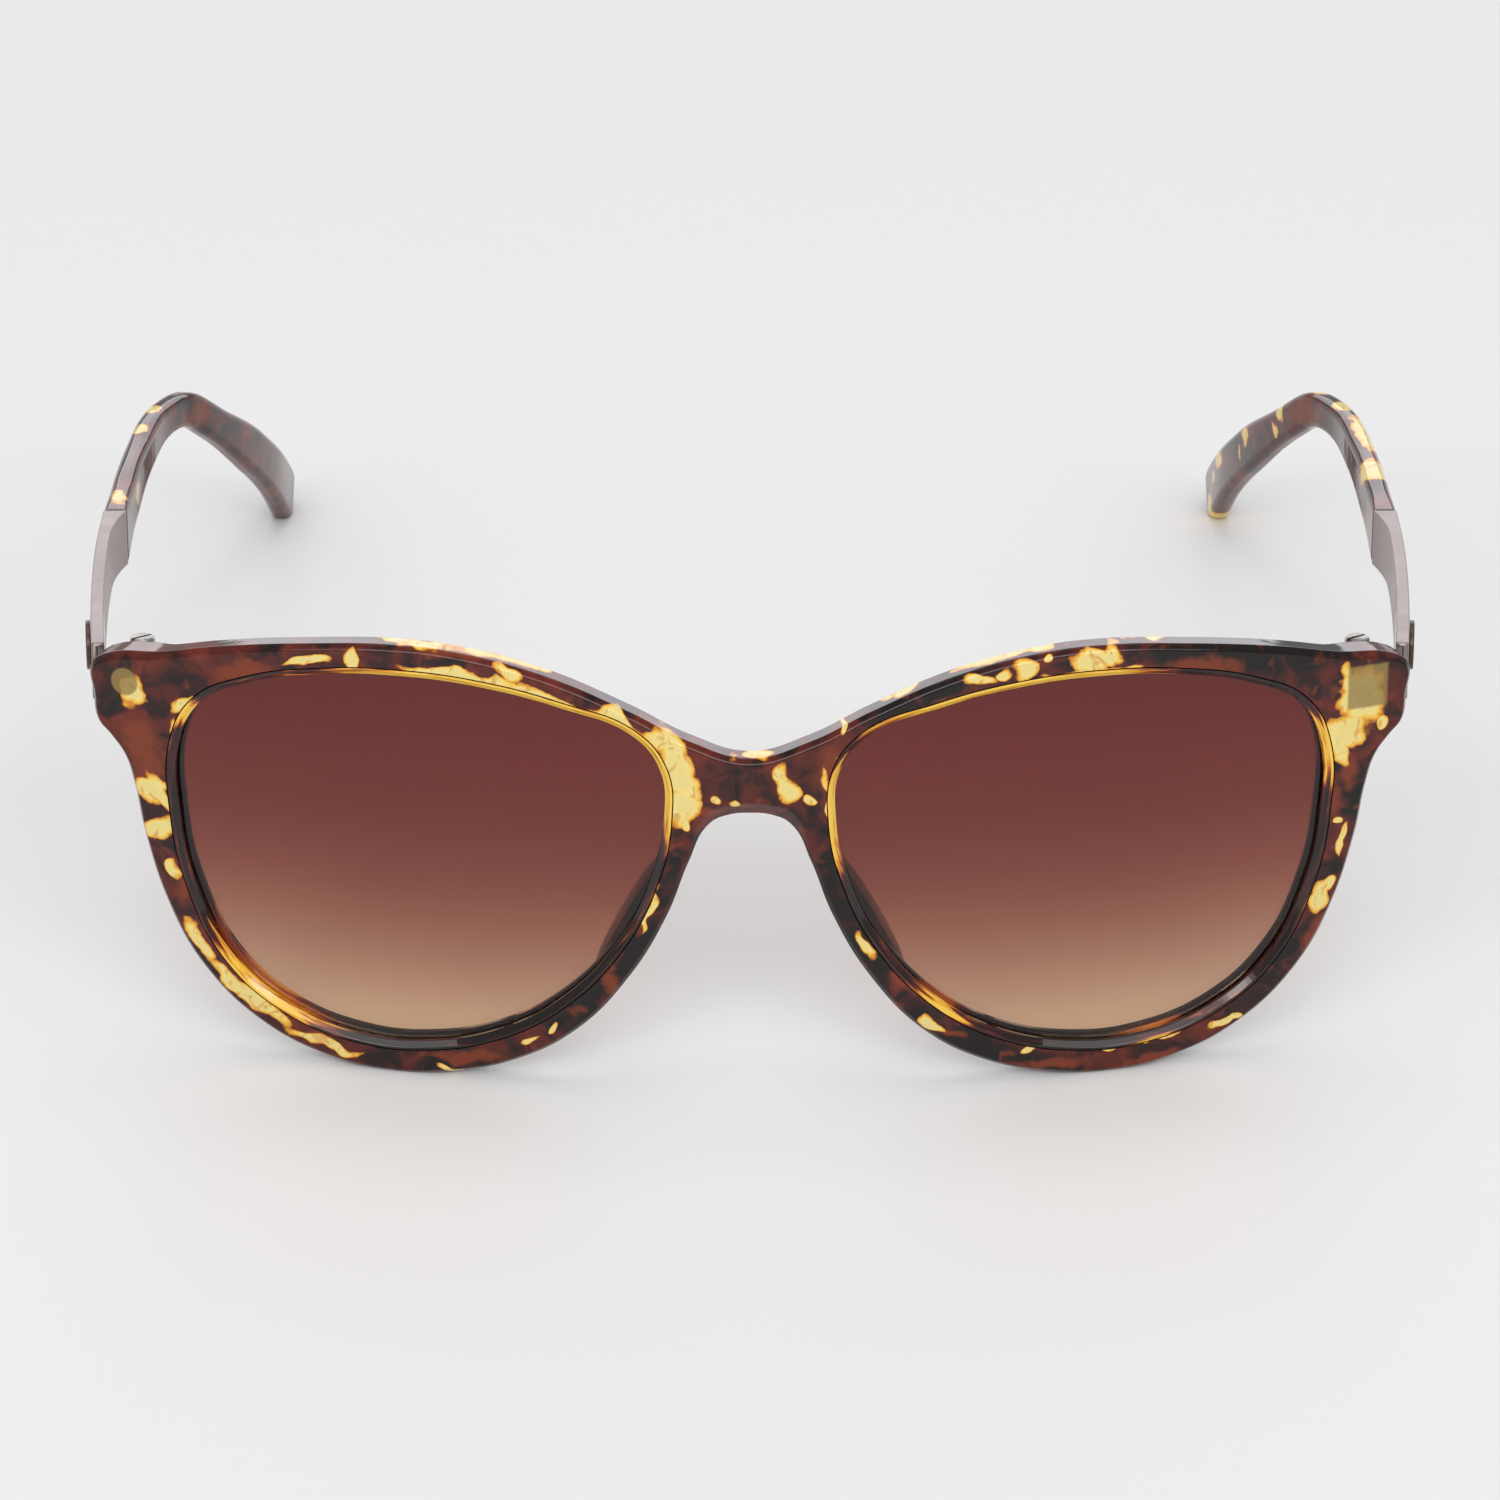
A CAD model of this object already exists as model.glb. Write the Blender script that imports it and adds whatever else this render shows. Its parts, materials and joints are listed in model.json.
"""Looks of the cat eye sunglasses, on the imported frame. The scene is in metres; its sizes,
outlines and patterns are written in millimetres."""
import json
from math import atan, atan2, cos, pi, radians, sin

import bmesh
import bpy
import numpy as np
from mathutils import Matrix, Vector
from mathutils.geometry import delaunay_2d_cdt


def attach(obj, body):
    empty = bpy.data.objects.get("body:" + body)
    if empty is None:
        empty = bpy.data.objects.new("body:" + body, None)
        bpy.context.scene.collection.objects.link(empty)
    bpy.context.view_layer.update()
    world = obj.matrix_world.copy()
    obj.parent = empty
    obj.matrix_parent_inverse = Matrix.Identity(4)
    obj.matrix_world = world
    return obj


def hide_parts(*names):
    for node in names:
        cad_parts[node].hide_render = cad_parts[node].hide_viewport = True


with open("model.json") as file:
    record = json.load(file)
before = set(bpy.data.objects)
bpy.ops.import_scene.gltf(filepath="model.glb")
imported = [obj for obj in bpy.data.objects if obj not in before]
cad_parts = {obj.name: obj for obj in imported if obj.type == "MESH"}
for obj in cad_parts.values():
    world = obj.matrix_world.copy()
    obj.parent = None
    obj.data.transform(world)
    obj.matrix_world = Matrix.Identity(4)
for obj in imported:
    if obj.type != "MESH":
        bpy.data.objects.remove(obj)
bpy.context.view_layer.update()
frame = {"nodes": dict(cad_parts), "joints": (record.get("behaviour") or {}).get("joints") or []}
SIDES = (("left", -1), ("right", 1))
MM = 0.001

# Sizes shared with the CAD, in mm
RIM_DEPTH, END_PIECE_DEPTH = 3.2, 4.5
END_PIECE_START, END_PIECE_FULL = 62.0, 65.5
FRONT_RADIUS, FRONT_RADIUS_UP, CURVE_MIDDLE_HEIGHT = 200.0, 300.0, 24.0
FRONT_LEAN = radians(2)
FRONT_SHIFT = np.array((0, -74.59, 0.49))
LENS_DEPTH, LENS_THICKNESS, GROOVE, GROOVE_HOLD, FIT = 1.1, 1.3, 0.8, 0.6, 0.1
HINGE_X, TEMPLE_SLOPE = 65.8, radians(6.2)
HINGE_STANDOFF, LEAF_THICKNESS, PLATE_WIDTH, PLATE_HEIGHT = 3.0, 1.1, 4.2, 5.4
ANCHOR_RADIUS, ANCHOR_HEAD, BARREL_HEIGHT = 1.6, 1.0, 5.2
SCREW_RADIUS, HEAD_RADIUS, HEAD_HEIGHT, SLOT_DEPTH = 0.7, 1.35, 1.0, 0.3
ARM_THICKNESS, ARM_HEIGHT, ARM_LENGTH, FLARE_LENGTH = 1.45, 6.6, 42.5, 8.0
TIP_THICKNESS, TIP_ROUNDING, JOINT_GAP = 2.7, 4.0, 0.1
BARREL_RADIUS, LEAF_LENGTH, LEAF_INLAY, CLEARANCE = 1.6, 10.8, 0.75, 0.1
RIVET_PLACE, RIVET_HEAD, RIVET_SHANK, RIVET_CAP = 7.7, 2.7, 0.9, 0.5
PAD_HALF, PAD_FULLNESS, PAD_FLARE = np.array((1.7, 10.0, 4.2)), 2.6, 0.3
PAD_TILT, PAD_MIDDLE = radians(28), (12.2, 18.9)

# Sizes of the looks alone, in mm: how far a rounded edge reaches into its face, the spacing
# of the points on faces, and the small chamfers at the ends of arms and tips
EDGE_REACH, FRONT_GRID, LENS_GRID, LENS_EDGE = 1.1, 1.4, 2.5, 0.15
BRIDGE_CUT, BRIDGE_MIDDLE = (3.2, 6.2), 35  # where the deeper edge under the bridge fades out
CHAMFER, CHAMFER_LENGTH, ARM_CORNER, TIP_CHAMFER, TIP_CHAMFER_LENGTH = 0.12, 0.15, 0.22, 0.15, 0.2
TIP_END_HEIGHT, TIP_END_WIDTH = 0.55, 0.5  # shares of the full size at the very end of a tip
PATTERN_OFFSET = 100  # keeps the patterns of the two temples apart
SHARP_ANGLE = radians(32)

FRONT_OUTLINE = [
    (6.5, 41.7), (13, 45.0), (22, 48.7), (31, 50.7), (38, 51.1), (47, 50.4), (57, 48.9),
    (64, 47.3), (69.5, 46.3), (71.2, 45.0), (71.1, 41.5), (70.7, 38.4), (69.4, 36.9),
    (67.9, 34.8), (67.0, 31.8), (65.9, 25.5), (63.6, 17.6), (59.6, 10.0), (53.7, 4.2),
    (47, 0.9), (40, -0.4), (33, 0.1), (25.5, 2.3), (19, 6.4), (13.1, 13.4), (8.9, 21.2),
    (6.5, 27.8), (4.6, 31.7), (2.2, 32.9),
]
BRIDGE_TOP, BRIDGE_UNDERSIDE = (0, 39.8), (0, 33.1)
LENS_OUTLINE = [
    (9.2, 33), (9.7, 38.5), (12.6, 42.2), (20, 45.0), (29, 47.0), (37.5, 47.6), (46, 47.0),
    (54, 45.1), (59.2, 42.2), (61.7, 37.2), (61.9, 29), (60.4, 20.5), (56.6, 12.2),
    (50.5, 6.7), (43, 4.0), (35.5, 3.8), (27, 6.1), (20.3, 10.5), (14.6, 17.2), (10.9, 24.8),
]
TEMPLE_PATH = [
    (5.55, -0.9, 0), (6.5, 9.1, 0), (7.3, 20, 0), (7.8, 30, 0), (7.95, 41, 0), (7.9, 54, 0.2),
    (7.5, 66, 0.5), (6.5, 77, 0.8), (4.8, 84.5, 0.4), (3.2, 89, -0.8), (1.4, 94, -3.9),
    (-1.7, 105, -10.7), (-4, 117, -18.3), (-5, 130.5, -26.9),
]
TIP_HEIGHTS = [(41, 6.5), (54, 6.0), (70, 5.0), (85, 4.2), (98, 4.4), (115, 5.8), (138, 7.0)]


# ---- helpers

def linked(name, data):
    """New object with the data, in the scene."""
    item = bpy.data.objects.new(name, data)
    bpy.context.scene.collection.objects.link(item)
    return item


def mesh_from(bm, name):
    """The mesh of a bmesh, which is freed."""
    mesh = bpy.data.meshes.new(name)
    bm.to_mesh(mesh)
    bm.free()
    return mesh


def box_mesh(low, high, place):
    bm = bmesh.new()
    bmesh.ops.create_cube(bm, size=1)
    low, high = Vector(low) * MM, Vector(high) * MM
    bmesh.ops.scale(bm, vec=high - low, verts=bm.verts)
    bmesh.ops.translate(bm, vec=(low + high) / 2, verts=bm.verts)
    bmesh.ops.transform(bm, matrix=place, verts=bm.verts)
    return mesh_from(bm, "box")


def cylinder_mesh(radius, low, high, place):
    """Cylinder about the z axis of the place, between two heights along it."""
    bm = bmesh.new()
    bmesh.ops.create_cone(bm, cap_ends=True, segments=48, depth=(high - low) * MM,
                          radius1=radius * MM, radius2=radius * MM)
    bmesh.ops.translate(bm, vec=(0, 0, (low + high) / 2 * MM), verts=bm.verts)
    bmesh.ops.transform(bm, matrix=place, verts=bm.verts)
    return mesh_from(bm, "cylinder")


def cut_away(piece, pocket):
    """Cuts the pocket's mesh out of the piece and returns the piece's new mesh."""
    cutter = linked("cutter", pocket)
    modifier = piece.modifiers.new("pocket", "BOOLEAN")
    modifier.object, modifier.operation, modifier.solver = cutter, "DIFFERENCE", "EXACT"
    bpy.context.view_layer.update()
    graph = bpy.context.evaluated_depsgraph_get()
    mesh = bpy.data.meshes.new_from_object(piece.evaluated_get(graph))
    piece.modifiers.clear()
    piece.data = mesh
    bpy.data.objects.remove(cutter)
    return mesh


def point_mesh(name, world, faces, **layers):
    """Mesh of points in mm, none of them below the table, with vectors for each point."""
    world[:, 2] = np.maximum(world[:, 2], 0)
    mesh = bpy.data.meshes.new(name)
    mesh.from_pydata(world * MM, [], [tuple(int(i) for i in face) for face in faces])
    for attribute, values in layers.items():
        layer = mesh.attributes.new(attribute, "FLOAT_VECTOR", "POINT")
        layer.data.foreach_set("vector", values.astype(np.float32).ravel())
    return mesh


def unit(vector):
    return vector / np.linalg.norm(vector)


# ---- outlines and sections

def outline(points, spacing=0.6):
    """Even points along the closed smooth curve through the key points, and its outer normals."""
    curve = bpy.data.curves.new("outline", "CURVE")
    curve.dimensions, curve.fill_mode, curve.resolution_u = "3D", "FULL", 24
    spline = curve.splines.new("BEZIER")
    spline.bezier_points.add(len(points) - 1)
    spline.use_cyclic_u = True
    for knot, (x, y) in zip(spline.bezier_points, points):
        knot.co = (x, y, 0)
        knot.handle_left_type = knot.handle_right_type = "AUTO"
    holder = linked("outline", curve)
    bpy.context.view_layer.update()
    mesh = holder.to_mesh()
    dense = np.array([vert.co[:2] for vert in mesh.vertices])
    holder.to_mesh_clear()
    bpy.data.objects.remove(holder)
    bpy.data.curves.remove(curve)
    closed = np.vstack([dense, dense[:1]])
    length = np.concatenate([[0], np.cumsum(np.linalg.norm(np.diff(closed, axis=0), axis=1))])
    count = int(length[-1] / spacing)
    along = np.arange(count) * length[-1] / count
    loop = np.stack([np.interp(along, length, closed[:, axis]) for axis in (0, 1)], axis=1)
    tangent = np.roll(loop, -1, axis=0) - np.roll(loop, 1, axis=0)
    tangent = sum(np.roll(tangent, k, axis=0) for k in (-1, 0, 1))
    tangent /= np.linalg.norm(tangent, axis=1)[:, None]
    turn = np.sum(loop[:, 0] * np.roll(loop[:, 1], -1) - np.roll(loop[:, 0], -1) * loop[:, 1])
    normal = np.stack([tangent[:, 1], -tangent[:, 0]], axis=1) * (1 if turn > 0 else -1)
    return loop, normal


def fillet(corners, radii, steps=3):
    """Rounded polyline with its normals: each corner becomes an arc of its radius."""
    corners = [np.array(corner, float) for corner in corners]
    places, normals = [], []

    def add(place, direction):
        places.append(place)
        normals.append((-direction[1], direction[0]))

    add(corners[0], unit(corners[1] - corners[0]))
    for before, corner, after, radius in zip(corners, corners[1:], corners[2:], radii):
        u, v = unit(corner - before), unit(after - corner)
        turn = atan2(u[0] * v[1] - u[1] * v[0], u @ v)
        side = np.sign(turn)
        reach = radius * np.tan(abs(turn) / 2)
        inward = side * np.array((-u[1], u[0]))
        for step in range(steps + 1):
            angle = abs(turn) * step / steps
            place = corner - u * reach + radius * (sin(angle) * u + (1 - cos(angle)) * inward)
            add(place, cos(angle) * u + sin(angle) * inward)
    add(corners[-1], unit(corners[-1] - corners[-2]))
    return np.array(places), np.array(normals)


def inside(points, loop):
    """Which of the points lie inside the closed loop."""
    x, y = points[:, 0][:, None], points[:, 1][:, None]
    x1, y1 = loop.T
    x2, y2 = np.roll(loop, -1, axis=0).T
    crosses = (y1 > y) != (y2 > y)
    with np.errstate(divide="ignore", invalid="ignore"):
        at = (x2 - x1) * (y - y1) / (y2 - y1) + x1
    return (crosses & (x < at)).sum(axis=1) % 2 == 1


class Flat:
    """Mesh under construction in flat coordinates (x, height, depth), in mm."""

    def __init__(self):
        self.places, self.normals, self.along = [], [], []
        self.faces, self.face_kinds = [], []
        self.count = 0

    def add(self, places, normals, along):
        """Adds points and returns their numbers."""
        first = self.count
        self.places.append(places)
        self.normals.append(normals)
        self.along.append(along)
        self.count += len(places)
        return np.arange(first, self.count)

    def strip(self, ring, following, kind=0):
        """Adds the faces between two rings of points."""
        self.faces += zip(ring, np.roll(ring, -1), np.roll(following, -1), following)
        self.face_kinds += [kind] * len(ring)

    def skirt(self, loop, outward, profile, kinds):
        """Sweeps (inset, depth) profiles round the loop; returns the first and last rings.
        profile is (places, normals), each an array of (ring, loop point, 2); kinds has the
        number of the material for each strip between two rings."""
        places, normals = profile
        step = np.linalg.norm(np.roll(loop, -1, axis=0) - loop, axis=1)
        total = step.sum()
        angle = 2 * pi * np.concatenate([[0], np.cumsum(step)[:-1]]) / total
        circle = np.stack([np.cos(angle), np.sin(angle)], axis=1) * total / (2 * pi)
        across = np.cumsum(np.linalg.norm(np.diff(places[:, 0], axis=0, prepend=places[:1, 0]),
                                          axis=1))
        rings = []
        for place, normal, reach in zip(places, normals, across):
            xy = loop - outward * place[:, :1]
            flat = np.column_stack([xy, place[:, 1]])
            facing = np.column_stack([-outward * normal[:, :1], normal[:, 1]])
            along = np.column_stack([circle, np.full(len(loop), reach)])
            rings.append(self.add(flat, facing, along))
        for ring, following, kind in zip(rings, rings[1:], kinds):
            self.strip(ring, following, kind)
        return rings[0], rings[-1]

    def fill(self, outer, holes, depth, facing, spacing):
        """Fills the flat region inside the outer ring and outside the holes."""
        flat = np.vstack(self.places)

        def within(points):
            keep = inside(points, flat[outer, :2])
            for hole in holes:
                keep &= ~inside(points, flat[hole, :2])
            return keep

        rings = [outer, *holes]
        border = np.concatenate(rings)
        edges, first = [], 0
        for ring in rings:
            count = len(ring)
            edges += [(first + i, first + (i + 1) % count) for i in range(count)]
            first += count
        low, high = flat[outer, :2].min(axis=0), flat[outer, :2].max(axis=0)
        xs = np.arange(low[0], high[0], spacing)
        ys = np.arange(low[1], high[1], spacing * 0.87)
        grid = np.array([(x + (row % 2) * spacing / 2, y) for row, y in enumerate(ys) for x in xs])
        grid = grid[within(grid)]
        edge = flat[border, :2]
        near = np.array([np.min(np.sum((edge - point) ** 2, axis=1)) for point in grid])
        grid = grid[near > (spacing * 0.55) ** 2] if len(grid) else grid
        points = [Vector(point) for point in edge] + [Vector(point) for point in grid]
        result = delaunay_2d_cdt(points, edges, [], 0, 1e-7)
        out_points = np.array([tuple(point) for point in result[0]])
        numbers = np.full(len(out_points), -1)
        for i, originals in enumerate(result[3]):
            if originals and originals[0] < len(border):
                numbers[i] = border[originals[0]]
        fresh = np.where(numbers < 0)[0]
        added = self.add(np.column_stack([out_points[fresh], np.full(len(fresh), depth)]),
                         np.tile((0, 0, facing), (len(fresh), 1)),
                         np.column_stack([out_points[fresh], np.full(len(fresh), depth)]))
        numbers[fresh] = added
        centres = np.array([out_points[list(face)].mean(axis=0) for face in result[2]])
        for face, kept in zip(result[2], within(centres)):
            if kept:
                self.faces.append(tuple(numbers[list(face)]))
                self.face_kinds.append(0)

    def finish(self, name, mapping, looks, slot, body, nodes, pockets=()):
        """Maps the flat mesh into the world and makes it a piece."""
        flat = np.vstack(self.places)
        facing = np.vstack(self.normals)
        step = 1e-3
        columns = [(mapping(flat + step * axis) - mapping(flat - step * axis)) / (2 * step)
                   for axis in np.eye(3)]
        jacobian = np.stack(columns, axis=2)
        normals = np.linalg.solve(np.transpose(jacobian, (0, 2, 1)), facing[:, :, None])[:, :, 0]
        normals /= np.linalg.norm(normals, axis=1)[:, None]
        mesh = point_mesh(name, mapping(flat), self.faces, flat=flat,
                          along=np.vstack(self.along), facing=normals)
        mesh.polygons.foreach_set("material_index", self.face_kinds)
        hand_over(mesh, name, looks, body, nodes, pockets)


def read(items, attribute, kind, width=1):
    """Array of the attribute of all the items."""
    values = np.zeros(len(items) * width, kind)
    items.foreach_get(attribute, values)
    return values.reshape(-1, width) if width > 1 else values


def register(piece, nodes, body):
    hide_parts(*nodes)
    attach(piece, body)


def hand_over(mesh, name, looks, body, nodes, pockets=(), near=45):
    """Makes the mesh a piece with smooth, exact normals from its facing attribute, except
    where they are more than near degrees from the face's own."""
    bm = bmesh.new()
    bm.from_mesh(mesh)
    if bm.calc_volume(signed=True) < 0:
        bmesh.ops.reverse_faces(bm, faces=bm.faces)
    bm.to_mesh(mesh)
    bm.free()
    piece = linked(name, mesh)
    for look in looks:
        mesh.materials.append(look)
    for pocket in pockets:
        mesh = cut_away(piece, pocket)
    mesh.shade_smooth()
    facing = read(mesh.attributes["facing"].data, "vector", np.float32, 3)
    flat = np.repeat(read(mesh.polygons, "normal", np.float32, 3),
                     read(mesh.polygons, "loop_total", int), axis=0)
    normals = facing[read(mesh.loops, "vertex_index", int)]
    length = np.linalg.norm(normals, axis=1)
    close = (normals * flat).sum(axis=1) > cos(radians(near)) * np.maximum(length, 1e-6)
    normals = np.where((close & (length > 0.5))[:, None], normals, flat)
    mesh.normals_split_custom_set([tuple(normal) for normal in normals])
    register(piece, nodes, body)


# ---- front

# Borders between the front's sectors, which share one pattern but only hold their own patches
SECTORS = (-45, -15, 15, 45)


def smoothstep(value, low, high):
    reach = np.clip((value - low) / (high - low), 0, 1)
    return reach * reach * (3 - 2 * reach)


def bend(flat):
    """Place in the world, in mm, of points of the flat front."""
    x, height, depth = flat.T
    rise = height - CURVE_MIDDLE_HEIGHT
    sag = x ** 2 / (2 * FRONT_RADIUS) + rise ** 2 / (2 * FRONT_RADIUS_UP)
    back = np.stack([-x / FRONT_RADIUS, np.ones_like(x), -rise / FRONT_RADIUS_UP], axis=1)
    back /= np.linalg.norm(back, axis=1)[:, None]
    blend = smoothstep(abs(x), END_PIECE_START, END_PIECE_FULL)
    depth = depth * (1 + blend * (END_PIECE_DEPTH / RIM_DEPTH - 1))
    curved = np.stack([x, sag, height], axis=1) + back * depth[:, None]
    y, z = curved[:, 1].copy(), curved[:, 2].copy()
    curved[:, 1] = y * cos(FRONT_LEAN) + z * sin(FRONT_LEAN)
    curved[:, 2] = z * cos(FRONT_LEAN) - y * sin(FRONT_LEAN)
    return curved + FRONT_SHIFT


def mirror(points):
    return [(-x, y) for x, y in reversed(points)]


def mixed(plain, special, share):
    """Profiles round a loop that turn from plain to special where share is 1."""
    return tuple(a[:, None] * (1 - share)[None, :, None] + b[:, None] * share[None, :, None]
                 for a, b in zip(plain, special))


def round_loop(profile, loop):
    return tuple(np.repeat(part[:, None], len(loop), axis=1) for part in profile)


def hinge_frame(side):
    """The middle of the hinge, with z along its axis and y along the open temple."""
    joint = next(j for j in frame["joints"] if (j["pos_m"][0] > 0) == (side > 0))
    place = Vector(joint["pos_m"])
    return Matrix.Translation(place) @ Matrix.Rotation(-TEMPLE_SLOPE, 4, "X")


def pocket_meshes(side):
    """Room in the end piece for the hinge plate and the anchor's head, as in the CAD."""
    wrap = atan(HINGE_X / FRONT_RADIUS)
    back = -HINGE_STANDOFF * cos(wrap)
    front = back - LEAF_THICKNESS
    turn = hinge_frame(side) @ Matrix.Rotation(side * wrap, 4, "Z")
    yield box_mesh((-PLATE_WIDTH / 2 - FIT, front - FIT, -PLATE_HEIGHT / 2 - FIT),
                   (PLATE_WIDTH / 2 + FIT, back + 1, PLATE_HEIGHT / 2 + FIT), turn)
    reach = -front + ANCHOR_HEAD + 2 * FIT
    yield cylinder_mesh(ANCHOR_RADIUS + FIT, -back, reach,
                        turn @ Matrix.Rotation(pi / 2, 4, "X"))


def make_front(looks):
    flat = Flat()
    loop, outward = outline([BRIDGE_TOP] + FRONT_OUTLINE + [BRIDGE_UNDERSIDE]
                            + mirror(FRONT_OUTLINE))
    back_edge = [(0, RIM_DEPTH - 0.45), (0.45, RIM_DEPTH), (EDGE_REACH, RIM_DEPTH)]
    plain = fillet([(EDGE_REACH, 0), (0.55, 0), (0, 0.55), *back_edge], [0.55, 0.3, 0.3, 0.3])
    deep = fillet([(EDGE_REACH + 1.2, 0), (1.7, 0), (0, 1.25), *back_edge], [0.5, 0.35, 0.3, 0.3])
    under_bridge = (1 - smoothstep(abs(loop[:, 0]), *BRIDGE_CUT)) * (loop[:, 1] < BRIDGE_MIDDLE)
    profile = mixed(plain, deep, under_bridge)
    front, back = flat.skirt(loop, outward, profile, [0] * len(plain[0]))
    rims = []
    for side in (1, -1):
        loop, outward = outline(LENS_OUTLINE if side == 1 else mirror(LENS_OUTLINE))
        top, bottom = LENS_DEPTH - FIT, LENS_DEPTH + LENS_THICKNESS + FIT
        profile = fillet([(0.95, 0), (0.6, 0), (0, 0.6), (0, top), (GROOVE, top),
                          (GROOVE, bottom), (0, bottom), (0, RIM_DEPTH - 0.2),
                          (0.2, RIM_DEPTH), (EDGE_REACH, RIM_DEPTH)],
                         [0.2, 0.12, 0.04, 0.04, 0.04, 0.04, 0.08, 0.08])
        depths = profile[0][:, 1]
        kinds = [0 if a == b == RIM_DEPTH else 1 for a, b in zip(depths, depths[1:])]
        rims.append(flat.skirt(loop, -outward, round_loop(profile, loop), kinds))
    flat.fill(front, [rim[0] for rim in rims], 0, -1, FRONT_GRID)
    flat.fill(back, [rim[1] for rim in rims], RIM_DEPTH, 1, FRONT_GRID)
    places = np.vstack(flat.places)[:, 0]
    middles = [places[list(face)].mean() for face in flat.faces]
    flat.face_kinds = [len(SECTORS) + 1 if kind else int(np.searchsorted(SECTORS, middle))
                       for kind, middle in zip(flat.face_kinds, middles)]
    pockets = [pocket for _, side in SIDES for pocket in pocket_meshes(side)]
    flat.finish("front_rims", bend, looks, "tortoiseshell", "front", ["front_frame"], pockets)


def make_lens(name, side, look):
    flat = Flat()
    loop, outward = outline(LENS_OUTLINE if side == 1 else mirror(LENS_OUTLINE), 0.7)
    low, high = LENS_DEPTH, LENS_DEPTH + LENS_THICKNESS
    edge = LENS_EDGE - GROOVE_HOLD
    profile = fillet([(1, low), (edge, low), (-GROOVE_HOLD, low + LENS_EDGE),
                      (-GROOVE_HOLD, high - LENS_EDGE), (edge, high), (1, high)], [0.05] * 4, 2)
    front, back = flat.skirt(loop, outward, round_loop(profile, loop), [0] * len(profile[0]))
    flat.fill(front, [], low, -1, LENS_GRID)
    flat.fill(back, [], high, 1, LENS_GRID)
    flat.finish(f"tinted_lens_{name}", bend, [look], "lens", "front", [f"lens_{name}"])


def make_nose_pad(name, side, look):
    """Smooth half ball with full ends, flattened and flared, as in the CAD."""
    half, full, count = PAD_HALF, PAD_FULLNESS, 56
    around = 2 * pi * np.arange(count) / count
    rise = np.linspace(0, pi / 2, 22)[:-1]
    flat = Flat()
    circle = np.stack([np.cos(around), np.sin(around)], axis=1)
    circle /= ((abs(circle) ** full).sum(axis=1) ** (1 / full))[:, None]
    steep = np.sign(circle) * abs(circle) ** (full - 1)
    rings = []
    for angle in rise:
        ball = np.column_stack([circle * cos(angle), np.full(count, sin(angle))])
        slope = np.column_stack([steep * cos(angle), np.full(count, sin(angle))])
        rings.append(flat.add(ball * half, slope / half, ball * 5))
    top = flat.add(np.array([[0, 0, half[2]]]), np.array([[0, 0, 1.0]]), np.zeros((1, 3)))[0]
    base = flat.add(circle * half[:2] @ np.eye(2, 3), np.tile((0, 0, -1.0), (count, 1)),
                    np.zeros((count, 3)))
    for ring, following in zip([base, *rings], rings):
        flat.strip(ring, following)
    flat.faces += [(a, b, top) for a, b in zip(rings[-1], np.roll(rings[-1], -1))]
    flat.faces.append(tuple(reversed(base)))
    flat.face_kinds = [0] * len(flat.faces)

    def place(points):
        x = points[:, 0] * cos(PAD_TILT) - points[:, 1] * sin(PAD_TILT)
        height = points[:, 0] * sin(PAD_TILT) + points[:, 1] * cos(PAD_TILT)
        x = x + PAD_FLARE * points[:, 2] + PAD_MIDDLE[0]
        return bend(np.stack([side * x, height + PAD_MIDDLE[1],
                              points[:, 2] + RIM_DEPTH + FIT], axis=1))

    flat.finish(f"pad_{name}", place, [look], "nose_pad", "front", [f"nose_pad_{name}"])


# ---- temples

def catmull_rom(points, steps):
    points = [np.array(point, float) for point in points]
    ends = [2 * points[0] - points[1], *points, 2 * points[-1] - points[-2]]
    path = [points[0]]
    for a, b, c, d in zip(ends, ends[1:], ends[2:], ends[3:]):
        for step in range(1, steps + 1):
            t = step / steps
            path.append((2 * b + (c - a) * t + (2 * a - 5 * b + 4 * c - d) * t ** 2
                         + (3 * b - a - 3 * c + d) * t ** 3) / 2)
    return np.array(path)


PATH = catmull_rom(TEMPLE_PATH, 40)
PATH_LENGTH = np.concatenate([[0], np.cumsum(np.linalg.norm(np.diff(PATH, axis=0), axis=1))])
PATH_END = PATH_LENGTH[-1]
PATH_WAY = np.gradient(PATH, PATH_LENGTH, axis=0)


def on_path(distance):
    """Position and unit direction on the temple's outer face."""
    place = np.array([np.interp(distance, PATH_LENGTH, PATH[:, axis]) for axis in range(3)])
    way = np.array([np.interp(distance, PATH_LENGTH, PATH_WAY[:, axis]) for axis in range(3)])
    return place, unit(way)


def between(table, value):
    """Value of the table of (place, value) rows, eased between them."""
    value = min(max(value, table[0][0]), table[-1][0])
    for (a, low), (b, high) in zip(table, table[1:]):
        if value <= b:
            blend = (value - a) / (b - a)
            return low + (high - low) * blend * blend * (3 - 2 * blend)


def rounded_section(width, height, radius, steps=4):
    """Closed rounded rectangle with its outer side on x = 0: places and normals."""
    half = height / 2
    middle = (-width / 2, -half)
    corners = [middle, (0, -half), (0, half), (-width, half), (-width, -half), middle]
    places, normals = fillet(corners, [radius] * 4, steps)
    return places[:-1], -normals[:-1]


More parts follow.
